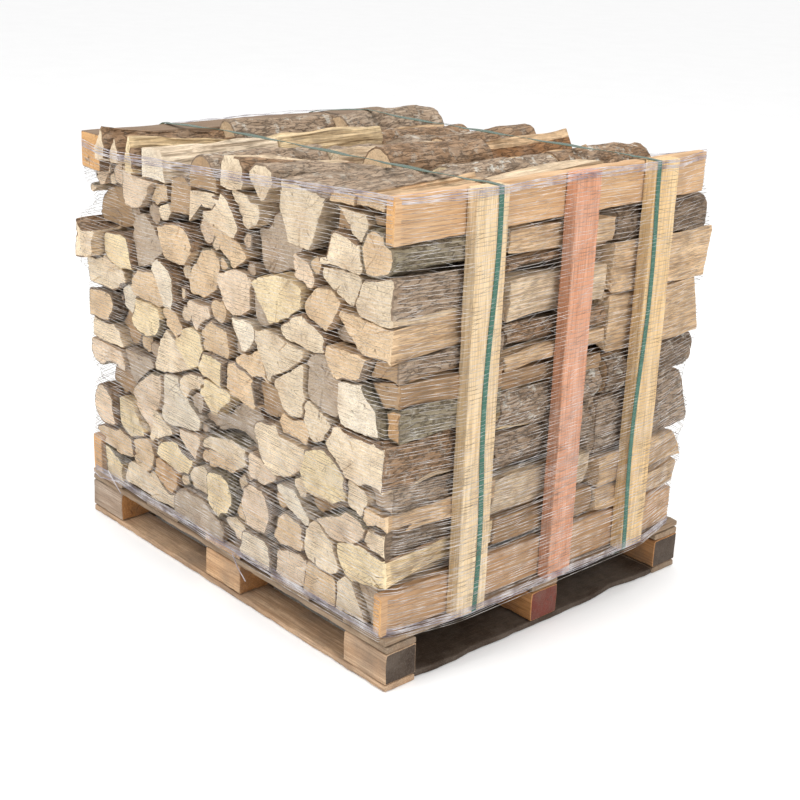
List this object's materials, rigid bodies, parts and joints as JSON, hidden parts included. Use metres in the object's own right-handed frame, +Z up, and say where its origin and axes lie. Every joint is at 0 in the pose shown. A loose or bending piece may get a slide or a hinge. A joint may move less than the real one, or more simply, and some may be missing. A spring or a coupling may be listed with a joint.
{
  "type": "pallet load of split firewood",
  "caption": "Net-wrapped pallet load of short split hardwood logs, held by corner rails, upright battens and two flat straps on a four-way block pallet.",
  "frame": {"origin": "on the floor under the middle of the pallet", "axes": "+Z up; +X along the pallet's long side, square to the logs; the logs lie along Y, and the finished log ends face -Y and +Y"},
  "size_m": [1.255, 1.068, 1.0835],
  "materials": {
    "firewood": "split and sawn faces, cream to tan, with grey-brown bark",
    "pallet_wood": "weathered, rough sawn, dirty",
    "rail_wood": "rough sawn, pale",
    "batten_wood": "rough sawn, pale yellow",
    "stained_batten_wood": "rough sawn, stained salmon pink",
    "strap_plastic": "embossed green polypropylene",
    "net_plastic": "thin white knitted polyethylene threads"
  },
  "bodies": {
    "root": {"pallet_bottom_board_front": "pallet_wood", "pallet_bottom_board_back": "pallet_wood", "pallet_bottom_board_left": "pallet_wood", "pallet_bottom_board_centre": "pallet_wood", "pallet_bottom_board_right": "pallet_wood", "pallet_block_front_left": "pallet_wood", "pallet_block_front_centre": "pallet_wood", "pallet_block_front_right": "pallet_wood", "pallet_block_middle_left": "pallet_wood", "pallet_block_middle_centre": "pallet_wood", "pallet_block_middle_right": "pallet_wood", "pallet_block_back_left": "pallet_wood", "pallet_block_back_centre": "pallet_wood", "pallet_block_back_right": "pallet_wood", "pallet_stringer_front": "pallet_wood", "pallet_stringer_middle": "pallet_wood", "pallet_stringer_back": "pallet_wood", "pallet_deck_board_1": "pallet_wood", "pallet_deck_board_2": "pallet_wood", "pallet_deck_board_3": "pallet_wood", "pallet_deck_board_4": "pallet_wood", "pallet_deck_board_5": "pallet_wood", "rail_right_bottom": "rail_wood", "rail_right_top": "rail_wood", "rail_left_bottom": "rail_wood", "rail_left_top": "rail_wood", "batten_right_front": "batten_wood", "batten_right_middle": "stained_batten_wood", "batten_right_back": "batten_wood", "batten_left_front": "batten_wood", "batten_left_middle": "batten_wood", "batten_left_back": "batten_wood", "log_stack_front": "firewood", "top_log_front_1": "firewood", "top_log_front_2": "firewood", "top_log_front_3": "firewood", "top_log_front_4": "firewood", "top_log_front_5": "firewood", "top_log_front_6": "firewood", "top_log_front_7": "firewood", "top_log_front_8": "firewood", "top_log_front_9": "firewood", "top_log_front_10": "firewood", "log_stack_middle": "firewood", "top_log_middle_1": "firewood", "top_log_middle_2": "firewood", "top_log_middle_3": "firewood", "top_log_middle_4": "firewood", "top_log_middle_5": "firewood", "top_log_middle_6": "firewood", "log_stack_back": "firewood", "top_log_back_1": "firewood", "top_log_back_2": "firewood", "top_log_back_3": "firewood", "top_log_back_4": "firewood", "top_log_back_5": "firewood", "strap_front": "strap_plastic", "strap_back": "strap_plastic", "net_wrap": "net_plastic"}
  },
  "joints": []
}
